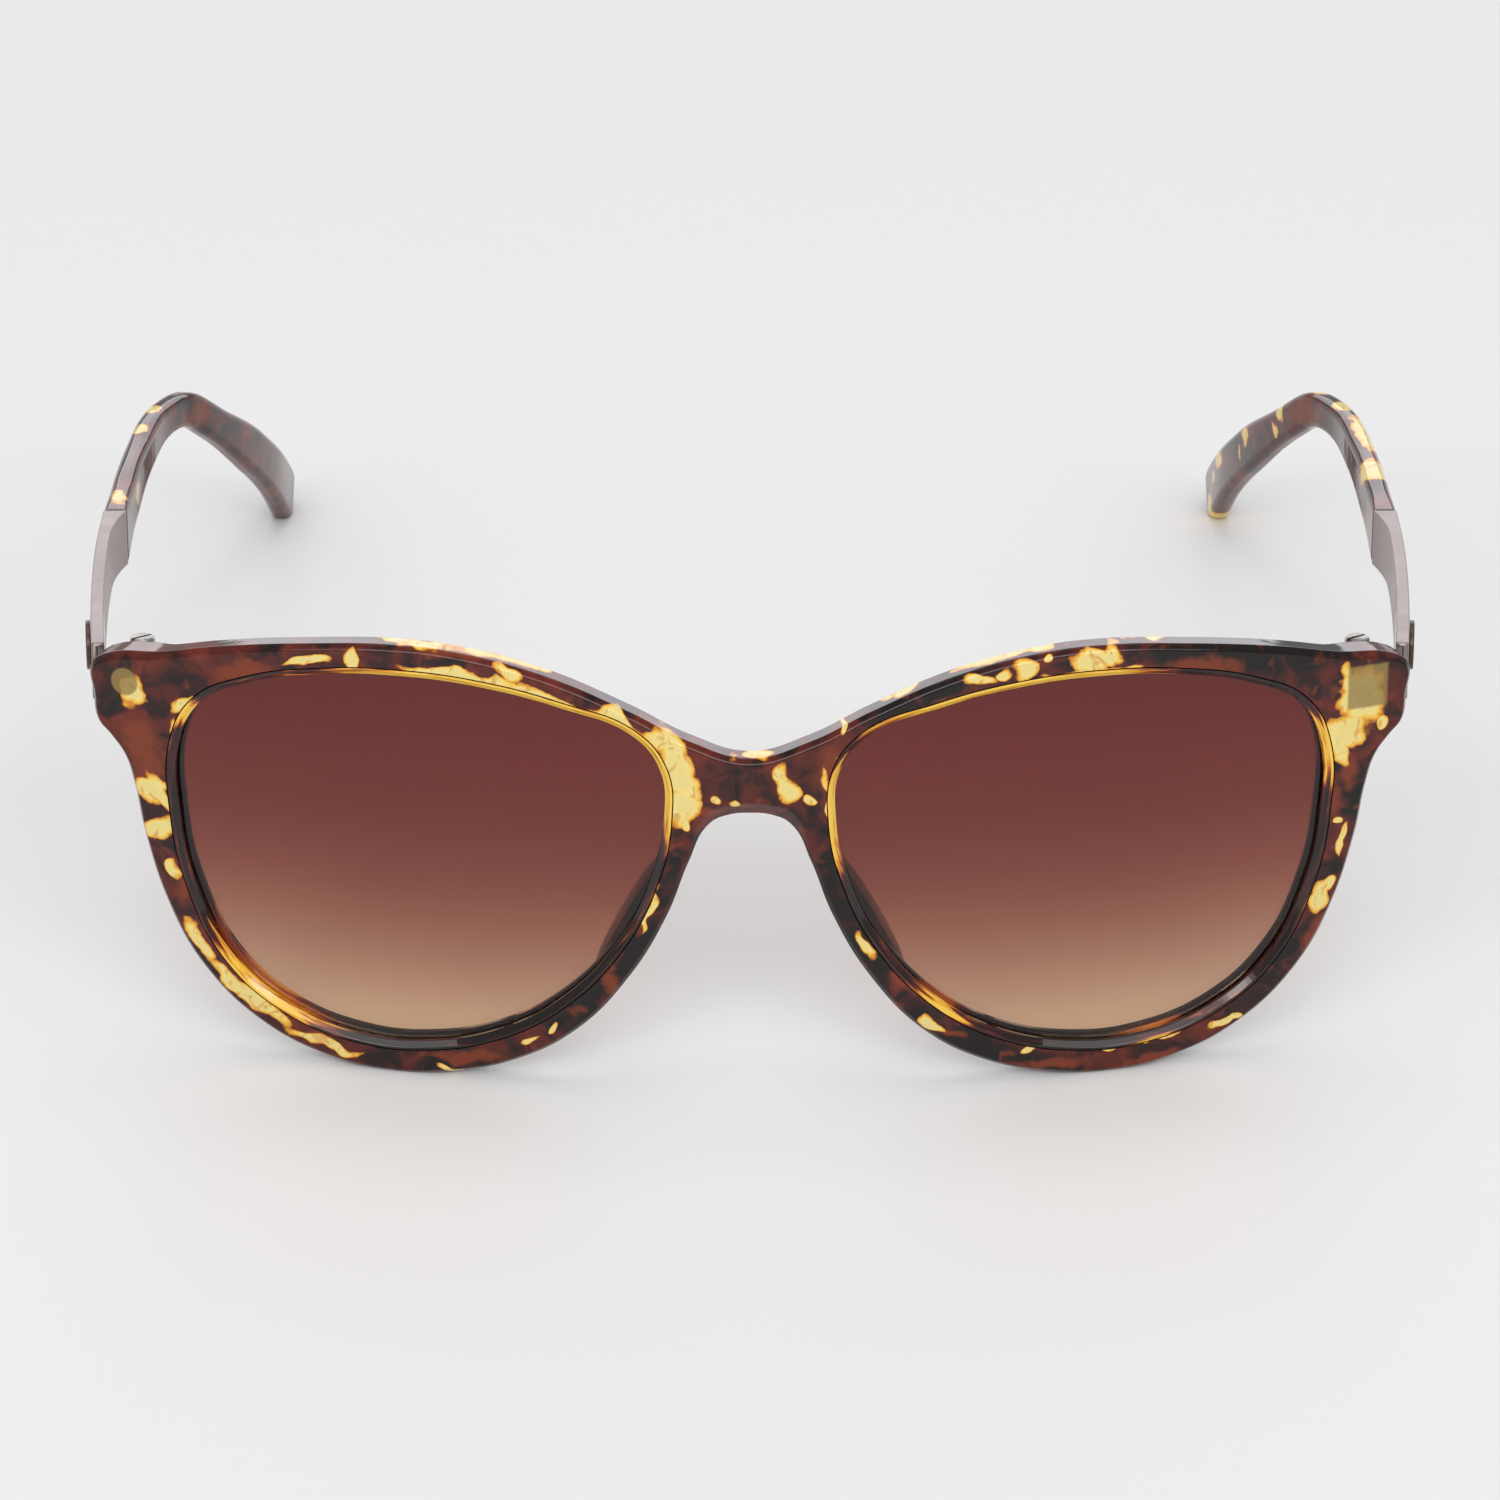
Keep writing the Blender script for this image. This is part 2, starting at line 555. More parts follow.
def sweep(name, side, stations, section, look, node, pockets=()):
    """Lofts section(distance) -> (places, normals, inset) along the temple into a piece."""
    matrix = np.array(hinge_frame(side))
    rings, facings, patterns = [], [], []
    for distance in stations:
        place, way = on_path(distance)
        out = unit(np.cross(way, (0, 0, 1)))
        up = np.cross(out, way)
        places, normals, inset = section(distance)
        rings.append(place + np.outer(places[:, 0] - inset, out) + np.outer(places[:, 1], up))
        facings.append(np.outer(normals[:, 0], out) + np.outer(normals[:, 1], up))
        patterns.append(np.column_stack([places[:, 0], np.full(len(places), distance),
                                         places[:, 1]]))
    rings, facings = np.array(rings), np.array(facings)
    way = np.gradient(rings, axis=0)
    way /= np.linalg.norm(way, axis=2)[:, :, None]
    across = np.roll(rings, -1, axis=1) - np.roll(rings, 1, axis=1)
    across -= facings * (across * facings).sum(axis=2)[:, :, None]
    normals = np.cross(across, way)
    normals /= np.maximum(np.linalg.norm(normals, axis=2), 1e-9)[:, :, None]
    normals *= np.sign((normals * facings).sum(axis=2))[:, :, None]
    count = rings.shape[1]
    places = [rings.reshape(-1, 3)]
    normals = [normals.reshape(-1, 3)]
    patterns = [np.array(patterns).reshape(-1, 3)]
    faces = []
    for i in range(len(rings) - 1):
        a = i * count + np.arange(count)
        b = np.roll(a, -1)
        faces += list(zip(a, b, b + count, a + count))
    for end in (0, len(rings) - 1):
        first = sum(len(part) for part in places)
        facing = way[end].mean(axis=0) * (1 if end else -1)
        places.append(rings[end])
        normals.append(np.tile(facing, (count, 1)))
        patterns.append(patterns[0][end * count:(end + 1) * count])
        a = first + np.arange(count)
        b = end * count + np.arange(count)
        faces += list(zip(a, np.roll(a, -1), np.roll(b, -1), b))
        faces.append(tuple(a) if end else tuple(reversed(a)))
    places, normals = np.vstack(places), np.vstack(normals)
    patterns = np.vstack(patterns)
    places[:, 0] *= side
    normals[:, 0] *= side
    world = places @ matrix[:3, :3].T + matrix[:3, 3] / MM
    normals = normals @ matrix[:3, :3].T
    patterns[:, 0] += side * PATTERN_OFFSET
    mesh = point_mesh(name, world, faces, flat=patterns, along=patterns, facing=normals)
    bm = bmesh.new()
    bm.from_mesh(mesh)
    bmesh.ops.recalc_face_normals(bm, faces=bm.faces)
    bm.to_mesh(mesh)
    bm.free()
    hand_over(mesh, name, [look], f"{'left' if side < 0 else 'right'}_temple", [node],
              pockets, near=60)


def spaced(low, high, step):
    count = max(1, round((high - low) / step))
    return list(np.linspace(low, high, count + 1))


def arm_section(distance):
    reach = min(max((distance - ARM_LENGTH + FLARE_LENGTH) / FLARE_LENGTH, 0), 1)
    width = ARM_THICKNESS + (TIP_THICKNESS - ARM_THICKNESS) * reach * reach
    shrink = sum(CHAMFER * max(0, 1 - left / CHAMFER_LENGTH)
                 for left in (distance, ARM_LENGTH - distance))
    places, normals = rounded_section(width - 2 * shrink, ARM_HEIGHT - 2 * shrink, ARM_CORNER)
    return places, normals, shrink


def rounded_off(left, least):
    """Falls in a quarter circle from 1 to the least value as left goes from 1 to 0."""
    return 1 if left >= 1 else least + (1 - least) * (1 - (1 - left) ** 2) ** 0.5


def tip_section(distance):
    left = (PATH_END - distance) / TIP_ROUNDING
    rounding = rounded_off(left, TIP_END_HEIGHT)
    thinning = rounded_off(2 * left, TIP_END_WIDTH)
    start = TIP_CHAMFER * max(0, 1 - (distance - ARM_LENGTH - JOINT_GAP) / TIP_CHAMFER_LENGTH)
    width = TIP_THICKNESS * thinning - 2 * start
    height = between(TIP_HEIGHTS, distance) * rounding - 2 * start
    radius = 0.62 + 0.45 * float(smoothstep(distance, 43, 52))
    places, normals = rounded_section(width, height, min(radius, 0.46 * width), 6)
    return places, normals, (TIP_THICKNESS - width) / 2


def arm_pockets(side):
    """Room in the arm for the hinge leaf and for the rivet's shank, as in the CAD."""
    splay, outside = straight_start()
    turn = hinge_frame(side) @ Matrix.Rotation(-side * splay, 4, "Z")
    inner = outside - ARM_THICKNESS
    xs = sorted((side * (inner - 2 * CLEARANCE), side * (inner + LEAF_INLAY + CLEARANCE)))
    half = PLATE_HEIGHT / 2 + CLEARANCE
    yield box_mesh((xs[0], -BARREL_RADIUS, -half), (xs[1], LEAF_LENGTH + CLEARANCE, half), turn)
    place = (turn @ Matrix.Translation((0, RIVET_PLACE * MM, 0))
             @ Matrix.Rotation(side * pi / 2, 4, "Y"))
    yield cylinder_mesh(RIVET_SHANK + CLEARANCE, 0, 2 * outside, place)


def make_temple(name, side, arm_look, tip_look):
    stations = [0, 0.05, 0.1, 0.15] + spaced(2, ARM_LENGTH - 0.4, 1.0)
    stations += [ARM_LENGTH - left for left in (0.15, 0.1, 0.05, 0)]
    sweep(f"arm_plate_{name}", side, stations, arm_section, arm_look,
          f"temple_arm_{name}", arm_pockets(side))
    start = ARM_LENGTH + JOINT_GAP
    stations = [start + step for step in (0, 0.06, 0.13, 0.2)]
    stations += spaced(start + 0.6, PATH_END - TIP_ROUNDING, 0.8)
    stations += [PATH_END - TIP_ROUNDING * (1 - sin(angle))
                 for angle in np.linspace(0, pi / 2, 14)[1:]]
    sweep(f"ear_tip_{name}", side, stations, tip_section, tip_look,
          f"temple_tip_{name}")


# ---- screws and rivets

def paint(mesh, look):
    """Gives the mesh its only material, smooth with sharp corners."""
    mesh.materials.clear()
    mesh.materials.append(look)
    mesh.shade_smooth()
    mesh.set_sharp_from_angle(angle=SHARP_ANGLE)


def turned(name, profile, place, look, node, body, segments=64, slot_cut=None):
    """Smooth turned piece about the z axis of the place, from a (radius, z) profile in mm."""
    bm = bmesh.new()
    verts = [bm.verts.new((max(radius, 0) * MM, 0, z * MM)) for radius, z in profile]
    edges = [bm.edges.new(pair) for pair in zip(verts, verts[1:])]
    bmesh.ops.spin(bm, geom=verts + edges, angle=2 * pi, steps=segments, axis=(0, 0, 1),
                   cent=(0, 0, 0))
    bmesh.ops.remove_doubles(bm, verts=bm.verts, dist=1e-7)
    bmesh.ops.recalc_face_normals(bm, faces=bm.faces)
    bm.normal_update()
    mesh = mesh_from(bm, name)
    piece = linked(name, mesh)
    if slot_cut:
        mesh = cut_away(piece, slot_cut)
    mesh.transform(place)
    paint(mesh, look)
    register(piece, [node], body)


def make_screw(name, side, look):
    seat = BARREL_HEIGHT / 2 + FIT
    top = seat + HEAD_HEIGHT
    places, _ = fillet([(0, -BARREL_HEIGHT / 2), (SCREW_RADIUS, -BARREL_HEIGHT / 2),
                        (SCREW_RADIUS, seat), (HEAD_RADIUS, seat), (HEAD_RADIUS, top),
                        (0, top)], [0.1, 0.02, 0.08, 0.35], 4)
    cut = box_mesh((-1.6, -0.2, top - SLOT_DEPTH), (1.6, 0.2, top + SLOT_DEPTH),
                   Matrix.Rotation(radians(35), 4, "Z"))
    turned(f"slotted_screw_{name}", places, hinge_frame(side), look,
           f"hinge_screw_{name}", "front", slot_cut=cut)


def straight_start():
    """Angle of the straight start of the arm, and the distance of its outer face from the axis."""
    start, end = on_path(0)[0], on_path(12)[0]
    splay = atan2(end[0] - start[0], end[1] - start[1])
    return splay, start[0] * cos(splay) - start[1] * sin(splay)


def make_rivet(name, side, look):
    """Dished round cap on the outer face of the arm, with its shank through arm and leaf."""
    splay, outside = straight_start()
    seat = outside + CLEARANCE
    inner = outside - ARM_THICKNESS
    top = seat + RIVET_CAP
    places, _ = fillet([(0, inner), (RIVET_SHANK, inner), (RIVET_SHANK, seat), (RIVET_HEAD, seat),
                        (RIVET_HEAD, top), (RIVET_HEAD - 0.55, top),
                        (RIVET_HEAD - 0.75, top - 0.14), (0, top - 0.14)],
                       [0.1, 0.02, 0.06, 0.16, 0.1, 0.1], 4)
    place = (hinge_frame(side) @ Matrix.Rotation(-side * splay, 4, "Z")
             @ Matrix.Translation((0, RIVET_PLACE * MM, 0))
             @ Matrix.Rotation(side * pi / 2, 4, "Y"))
    turned(f"round_cap_{name}", places, place, look, f"temple_rivet_{name}",
           f"{name}_temple", 72)


# ---- materials

class Tree:
    """Adds and links the nodes of one material."""

    def __init__(self, name):
        self.material = bpy.data.materials.new(name)
        self.material.use_nodes = True
        self.tree = self.material.node_tree
        self.tree.nodes.clear()
        self.end = self.tree.nodes.new("ShaderNodeOutputMaterial")

    def add(self, kind, inputs=None, **settings):
        node = self.tree.nodes.new(kind)
        for name, value in settings.items():
            setattr(node, name, value)
        for key, value in (inputs or {}).items():
            if isinstance(value, bpy.types.NodeSocket):
                self.tree.links.new(value, node.inputs[key])
            else:
                node.inputs[key].default_value = value
        return node

    def maths(self, operation, a, b=0.0, c=0.0):
        return self.add("ShaderNodeMath", {0: a, 1: b, 2: c}, operation=operation).outputs[0]

    def vector(self, operation, a, b=(0, 0, 0)):
        node = self.add("ShaderNodeVectorMath", {0: a, 1: b}, operation=operation)
        return node.outputs["Value" if operation in ("LENGTH", "DOT_PRODUCT") else "Vector"]

    def local(self, place, patch):
        """Place within a patch, which reaches from -1 to 1 along each of its axes."""
        return self.add("ShaderNodeMapping", {
            "Vector": place, "Location": patch[:3], "Rotation": (0, 0, radians(patch[6])),
            "Scale": patch[3:6]}, vector_type="TEXTURE").outputs[0]

    def place(self, attribute):
        return self.add("ShaderNodeAttribute", attribute_name=attribute).outputs["Vector"]

    def noise(self, place, scale, detail=2.0, roughness=0.5, output="Fac", distortion=0.0):
        node = self.add("ShaderNodeTexNoise", {"Vector": place, "Scale": scale, "Detail": detail,
                                               "Roughness": roughness, "Distortion": distortion})
        return node.outputs[output]

    def spread(self, value, low, high, to_low=0.0, to_high=1.0, smooth=False):
        node = self.add("ShaderNodeMapRange", {0: value, 1: low, 2: high, 3: to_low, 4: to_high})
        node.interpolation_type = "SMOOTHSTEP" if smooth else "LINEAR"
        return node.outputs[0]

    def ramp(self, value, stops, smooth=False):
        node = self.add("ShaderNodeValToRGB", {0: value})
        node.color_ramp.interpolation = "EASE" if smooth else "LINEAR"
        while len(node.color_ramp.elements) < len(stops):
            node.color_ramp.elements.new(0.5)
        for element, (position, colour) in zip(node.color_ramp.elements, stops):
            element.position = position
            element.color = (*colour, 1)
        return node.outputs[0]

    def mix(self, share, a, b):
        colours = [value if isinstance(value, bpy.types.NodeSocket) else (*value, 1)
                   for value in (a, b)]
        return self.add("ShaderNodeMix", {0: share, 6: colours[0], 7: colours[1]},
                        data_type="RGBA").outputs[2]

    def bump(self, height, distance):
        return self.add("ShaderNodeBump", {"Height": height, "Distance": distance}).outputs[0]

    def finish(self, shader):
        self.tree.links.new(shader.outputs[0], self.end.inputs["Surface"])
        return self.material

    def principled(self, inputs):
        return self.finish(self.add("ShaderNodeBsdfPrincipled", inputs))


BLACK_BROWN, DEEP_BROWN = (0.006, 0.003, 0.003), (0.028, 0.006, 0.005)
MAHOGANY, RED_BROWN = (0.078, 0.011, 0.007), (0.135, 0.018, 0.008)
EMBER, RUST, AMBER = (0.20, 0.034, 0.010), (0.30, 0.060, 0.008), (0.66, 0.25, 0.015)
HONEY, CREAM, OLIVE = (0.86, 0.55, 0.08), (0.90, 0.73, 0.26), (0.27, 0.185, 0.055)


def through(patches, depth, half_depth):
    """Adds a depth and half depth to patches of x, height, half sizes and turn, if any."""
    return [(x, height, depth, half_x, half_height, half_depth, *(turn or [0]))
            for x, height, half_x, half_height, *turn in patches]


# Honey patches: x, height, half sizes along those, and turn in degrees. Each list ends with the
# depth of the middles and the half depth.
FRONT_PATCHES = through([
    (-59.9, 42.1, 2.1, 0.8, 25), (-61.9, 36.7, 0.5, 2.9, -8), (-64.5, 31.1, 1.8, 1.3, 20),
    (-64.2, 26.9, 1.4, 1.3), (-62.8, 22.1, 0.5, 1.2), (-60.1, 14, 0.9, 2.3, 28),
    (-54.9, 7.9, 5.7, 0.9, -41), (-46.4, 2.6, 3.9, 0.5, -17), (-32.6, 0.7, 1.5, 0.4),
    (-23.7, 4.6, 0.9, 0.4, 20), (-21.5, 6.4, 0.4, 1, -20), (-10.1, 24, 0.4, 1.3, -15),
    (-7.7, 38.9, 1.5, 4.4, 22), (-7, 34.2, 2, 2.1), (-9.6, 41.8, 1.3, 1, -30),
    (-16.9, 44.6, 7.4, 0.7, -24), (-37.5, 47.2, 6.6, 0.4, -2), (-47.1, 48.4, 2.4, 0.4, 4),
    (-42.2, 49.1, 0.7, 1.1), (-25.4, 48.7, 1.5, 0.8, -15), (-30.5, 47.9, 6, 0.75, -7),
    (-21, 46.1, 5, 0.75, -17), (-13.8, 43.7, 3, 0.7, -30), (-62.9, 29.5, 0.7, 3.6, 22),
    (3.9, 36.4, 1.1, 1.9, 10), (6.1, 34.8, 0.7, 0.5), (3.5, 38.2, 0.8, 1),
    (-1.8, 35.4, 0.7, 0.4, -20), (-3.6, 35.7, 0.4, 0.5), (-10.9, 21.3, 0.35, 2, -24),
    (8.7, 33.7, 0.3, 3.9, 8), (12.4, 17.7, 0.6, 1.6, 35), (19.7, 7.9, 1.4, 0.5, -35),
    (51.4, 4.3, 1.6, 0.5, 28), (52.9, 5.1, 0.8, 0.5, 20), (61.8, 18.5, 1, 1.8, -12),
    (62.8, 20.2, 0.7, 1), (64.6, 25.5, 0.4, 1.7, -15), (63.5, 27.4, 0.7, 0.4),
    (64.2, 43, 0.5, 2.6), (66, 42, 2.2, 3.5, 4), (64.3, 38.2, 2.2, 1.6, 20),
    (63.5, 36.2, 0.8, 1.9, 15), (68.1, 38.2, 0.5, 0.7), (36.3, 49.7, 2.4, 1.3, 5),
    (38.4, 50, 1.1, 1.2), (36.5, 48, 4.5, 0.5, 2), (29.3, 49.3, 1.3, 1.2), (32.1, 50.3, 0.5, 0.5),
    (24.2, 48.3, 1.5, 0.7, 6), (26.5, 49.1, 0.9, 0.5, 10), (12.7, 42, 3.3, 0.4, 35),
    (-66.7, 42.6, 1.6, 1.7),
], 0, 4) + through([
    (10.1, 43, 0.4, 0.5), (-6.7, 31.7, 0.5, 0.7), (30.5, 3.6, 1, 0.4), (38.9, 2.7, 1.2, 0.5),
    (43.1, 3.3, 0.4, 0.4), (45.9, 3.9, 1.5, 0.4, 12),
], 0, 3) + through([
    (-1.8, 39.7, 1.1, 0.5), (1, 39.8, 1.2, 0.5),
], 1.8, 1.5) + through([
    (-27, 50.2, 7.7, 0.6, -12), (-35.6, 50.7, 4.4, 0.5, -3), (-16.2, 47.5, 6.6, 0.6, -24),
    (47.1, 49.8, 1.9, 0.5), (41.3, 50.3, 1.4, 0.5), (43.7, 50.3, 1, 0.5),
    (27.7, 50.1, 6.8, 0.6, 12), (16.1, 46.8, 4.4, 0.5, 24),
], 2.4, 1.3) + through([
    (67.3, 46.1, 2.7, 0.4, -3),
], 3, 1.5)
# Rusty, less clear patches
FRONT_GLOWS = through([
    (-61.9, 19.6, 1, 1.6), (-11.6, 20.9, 0.9, 2.4, -30), (-31.4, 50.7, 4.9, 0.7, -8),
    (21.8, 6.4, 1.4, 0.6, -25), (64.6, 33.4, 1.2, 2.2, -10), (51.5, 45.9, 1.8, 0.8, -25),
    (-65.5, 36, 2.6, 4, 10), (-54, 46.5, 4, 1.4, 4), (9, 37.5, 1.6, 4), (48, 47.5, 4.5, 1.2, -8),
    (61.8, 14, 1.6, 2.6, -30), (-4.2, 33.6, 1.4, 0.7), (-15, 13.5, 2.2, 1, -50),
    (16.8, 12.5, 2.6, 1, -50), (-31, 2.4, 5, 0.7, 3), (33, 1.5, 5, 0.7, 2), (62.9, 30, 1.2, 2),
], 0, 4) + through([(44, 1, 2.9, 0.5, 8)], 0, 3)
# Nearly black areas
FRONT_SHADES = through([
    (-14, 15, 6, 12, -28), (11.5, 21, 4, 10, 22), (24, 3.5, 9, 4, -25), (54, 48.5, 12, 2.2, -8),
    (-29, 1, 9, 2.6, -12), (58.5, 9, 4, 7, -35), (17, 46, 6, 1.6, 24), (65.5, 31, 2, 3),
], 0, 9)
# Where an anchor and a square hinge plate show through: whether it is the plate, then x,
# height, half sizes and turn
HINGE_SHADES = [(False, (-67.3, 43.6, 1.5, 1.6, 0)), (True, (66.45, 43.2, 2.25, 2.5, 0))]
# Honey patches of the tips: place in the thickness (right tip at 100, left at -100), distance
# along the temple, height, and half sizes along those
TIP_PATCHES = [
    (98.9, 57, 2.6, 1.8, 3.4, 1.6), (99.3, 70, 2.2, 1.3, 5.6, 1.4), (98.6, 80.5, 2, 0.9, 1.8, 1.2),
    (99, 88, 1.6, 0.7, 2.2, 1), (98, 97, 1.2, 1.2, 1.2, 1.3), (98, 99.8, -0.3, 1, 0.8, 1.1),
    (98, 111, 1.4, 1.2, 1.6, 1.4), (98, 114.5, -0.4, 1, 0.7, 1), (98.2, 126.5, 1.6, 1.4, 2.4, 1.3),
    (98, 131, 0.2, 1.2, 1, 0.9), (98.6, 136.4, -2.2, 2.6, 2.6, 1.5), (99.5, 48, -1.5, 1.2, 2, 1.4),
    (99.5, 76, -1, 1, 3, 1), (99.4, 104, -1.4, 1.2, 1.6, 0.9), (99.4, 120, -1.6, 1.2, 2.4, 1),
    (-101.2, 47, 1.9, 1, 2.4, 2), (-101, 71.5, 2.3, 0.7, 1.5, 0.9),
    (-101.4, 79, 2.1, 0.9, 1.5, 0.9), (-101, 118, 1.6, 1.2, 1.3, 0.9),
    (-102.4, 56, 0.4, 0.8, 2, 1.5), (-100.3, 62, -1, 0.9, 3, 1.3), (-98.3, 96.5, 0.4, 0.9, 1, 0.7),
    (-98.3, 126, 1.5, 1.2, 1.5, 1.1),
]
TIP_GLOWS = [
    (99, 46, 1.5, 2.4, 3, 2.4), (98, 90, 0, 3, 6, 2), (98.5, 133, -1, 3, 4, 2),
    (-101, 92, 0, 3, 4, 2), (-99, 133.5, -1.2, 3, 2.6, 1.5), (-101, 108, 1, 3, 3, 1.2),
]


def upright(patches):
    """The patches with no turn."""
    return [(*patch, 0) for patch in patches]


def buried_shape(tree, place, square, inset):
    """Above 0 inside a square plate or a round stud that shows through the plastic."""
    local = tree.local(place, through([inset], 0, 9)[0])
    if not square:
        return tree.maths("SUBTRACT", 1.0, tree.vector("LENGTH", local))
    split = tree.add("ShaderNodeSeparateXYZ", {0: tree.vector("ABSOLUTE", local)}).outputs
    return tree.maths("SUBTRACT", 1.0, tree.maths("MAXIMUM", split[0], split[1]))


def patch_field(tree, place, patches):
    """1 in the middle of a patch, 0 on its edge and below 0 outside."""
    nearest = None
    for patch in patches:
        distance = tree.vector("LENGTH", tree.local(place, patch))
        nearest = distance if nearest is None else tree.maths("MINIMUM", nearest, distance)
    return tree.maths("SUBTRACT", 1.0, nearest)


def in_sector(patches, low, high):
    """The patches that can reach into the sector between two x values."""
    reaches = [3 * max(patch[3:5]) + 3 for patch in patches]
    return [patch for patch, reach in zip(patches, reaches)
            if low < patch[0] + reach and patch[0] - reach < high]


def tortoise(name, patches, glows, shades=(), inserts=(), wander=1.0, gloss=0.38):
    """Polished tortoiseshell plastic: mahogany with near-black clouds, rusty glows and clear
    honey patches with amber borders."""
    tree = Tree(name)
    place = tree.place("flat")
    swirl = tree.noise(place, 0.3, 1.0, 0.4, "Color")
    swirl = tree.vector("MULTIPLY", tree.vector("SUBTRACT", swirl, (0.5, 0.5, 0.5)),
                        (wander * 3,) * 3)
    wandered = tree.vector("ADD", place, swirl)
    ragged = tree.maths("SUBTRACT", tree.noise(place, 0.9, 2.0, 0.5), 0.5)
    honey = tree.maths("ADD", patch_field(tree, wandered, patches), tree.maths(
        "MULTIPLY", ragged, 0.7))
    glow = tree.maths("ADD", patch_field(tree, wandered, glows), tree.maths(
        "MULTIPLY", ragged, 1.0))
    clouds = tree.noise(wandered, 0.3, 2.0, 0.5, distortion=0.6)
    if shades:
        shade = tree.spread(patch_field(tree, place, shades), -0.4, 0.5, 0.0, 0.2, smooth=True)
        clouds = tree.maths("SUBTRACT", clouds, shade)
    dark = tree.ramp(clouds, [(0.30, BLACK_BROWN), (0.42, DEEP_BROWN), (0.52, MAHOGANY),
                              (0.70, RED_BROWN)], smooth=True)
    streaks = tree.noise(tree.vector("MULTIPLY", wandered, (1.0, 1.0, 0.3)), 0.45, 2.0, 0.5)
    dark = tree.mix(tree.spread(streaks, 0.60, 0.75, 0.0, 0.6, smooth=True), dark, EMBER)
    dark = tree.mix(tree.spread(glow, -0.3, 0.6, 0.0, 0.85, smooth=True), dark, EMBER)
    clear = tree.ramp(tree.spread(honey, -0.3, 0.5), [
        (0.0, RUST), (0.25, AMBER), (0.45, HONEY), (0.75, CREAM)])
    depths = tree.noise(tree.vector("MULTIPLY", wandered, (1.0, 0.6, 1.0)), 0.9, 2.0, 0.5,
                        distortion=1.2)
    clear = tree.mix(tree.spread(depths, 0.56, 0.68, 0.0, 0.6, smooth=True), clear, AMBER)
    share = tree.spread(honey, -0.27, -0.07, smooth=True)
    colour = tree.mix(share, dark, clear)
    for square, inset in inserts:
        buried = buried_shape(tree, place, square, inset)
        colour = tree.mix(tree.spread(buried, -0.03, 0.1, 0.0, 0.82), colour, OLIVE)
    grain = tree.noise(place, 0.35, 2.0)
    return tree.principled({
        "Base Color": colour, "IOR": 1.5, "Specular IOR Level": gloss,
        "Transmission Weight": tree.spread(honey, -0.2, 0.5, 0.0, 0.15),
        "Roughness": tree.spread(grain, 0.3, 0.7, 0.045, 0.08),
        "Normal": tree.bump(grain, 0.00002)})


def rim_wall():
    """The polished walls round the lenses, dark with long golden streaks."""
    tree = Tree("tortoiseshell_wall")
    place = tree.place("flat")
    along = tree.place("along")
    streak = tree.noise(tree.vector("MULTIPLY", along, (0.09, 0.09, 1.3)), 1.0, 3.0, 0.6,
                        distortion=0.6)
    fine = tree.noise(tree.vector("MULTIPLY", along, (0.35, 0.35, 4.5)), 1.0, 2.0, 0.5)
    value = tree.maths("ADD", tree.maths("MULTIPLY", streak, 0.72),
                       tree.maths("MULTIPLY", fine, 0.28))
    near = patch_field(tree, place, through([
        (-56, 7, 15, 5, -41), (-20, 43.5, 17, 4, -24), (-36, 47, 10, 3, -2),
        (-8.5, 36, 2.5, 7, 10), (26, 47, 15, 2.5, 14), (36, 48, 8, 2, 0), (9.5, 33, 2, 6, 0),
        (20, 9, 4, 2, -38), (45, 3, 5, 1, 10), (62.5, 38, 2, 5, 10), (-61, 41.5, 1.5, 2, -10),
    ], 1, 9))
    value = tree.maths("ADD", value, tree.spread(near, -0.5, 0.6, -0.13, 0.19))
    colour = tree.ramp(value, [
        (0.36, BLACK_BROWN), (0.42, DEEP_BROWN), (0.49, MAHOGANY), (0.53, RUST), (0.57, AMBER),
        (0.63, (0.85, 0.50, 0.05)), (0.72, HONEY)])
    return tree.principled({
        "Base Color": colour, "IOR": 1.5,
        "Roughness": tree.spread(fine, 0.3, 0.7, 0.04, 0.1)})


def lens_tint():
    """Brown gradient lens: darker at the top, and clear enough to see through."""
    tree = Tree("brown_gradient")
    place = tree.place("flat")
    height = tree.add("ShaderNodeSeparateXYZ", {0: place}).outputs[1]
    height = tree.maths("ADD", height, tree.spread(tree.noise(place, 0.05, 1.0), 0, 1, -0.6, 0.6))
    # Height, and the red, green and blue that both faces together let through
    passed = [(5.0, .755, .545, .355), (8.0, .715, .48, .315), (12.0, .605, .345, .228),
              (15.7, .487, .230, .145), (19.4, .385, .143, .087), (23.0, .300, .084, .054),
              (26.8, .242, .054, .034), (31.0, .202, .033, .020), (36.0, .177, .020, .0125),
              (41.0, .150, .0105, .0070), (46.0, .130, .006, .0027)]
    stops = [(level / 50, tuple(value ** 0.5 for value in rgb)) for level, *rgb in passed]
    colour = tree.ramp(tree.maths("DIVIDE", height, 50.0), stops)
    window = tree.add("ShaderNodeBsdfTransparent", {"Color": colour})
    gloss = tree.add("ShaderNodeBsdfGlossy", {"Color": (1, 1, 1, 1), "Roughness": 0.0})
    steep = tree.add("ShaderNodeLayerWeight", {"Blend": 0.5}).outputs["Facing"]
    mirrored = tree.maths("MULTIPLY_ADD", tree.maths("POWER", steep, 5.0), 0.96, 0.04)
    return tree.finish(tree.add("ShaderNodeMixShader", {
        0: mirrored, 1: window.outputs[0], 2: gloss.outputs[0]}))


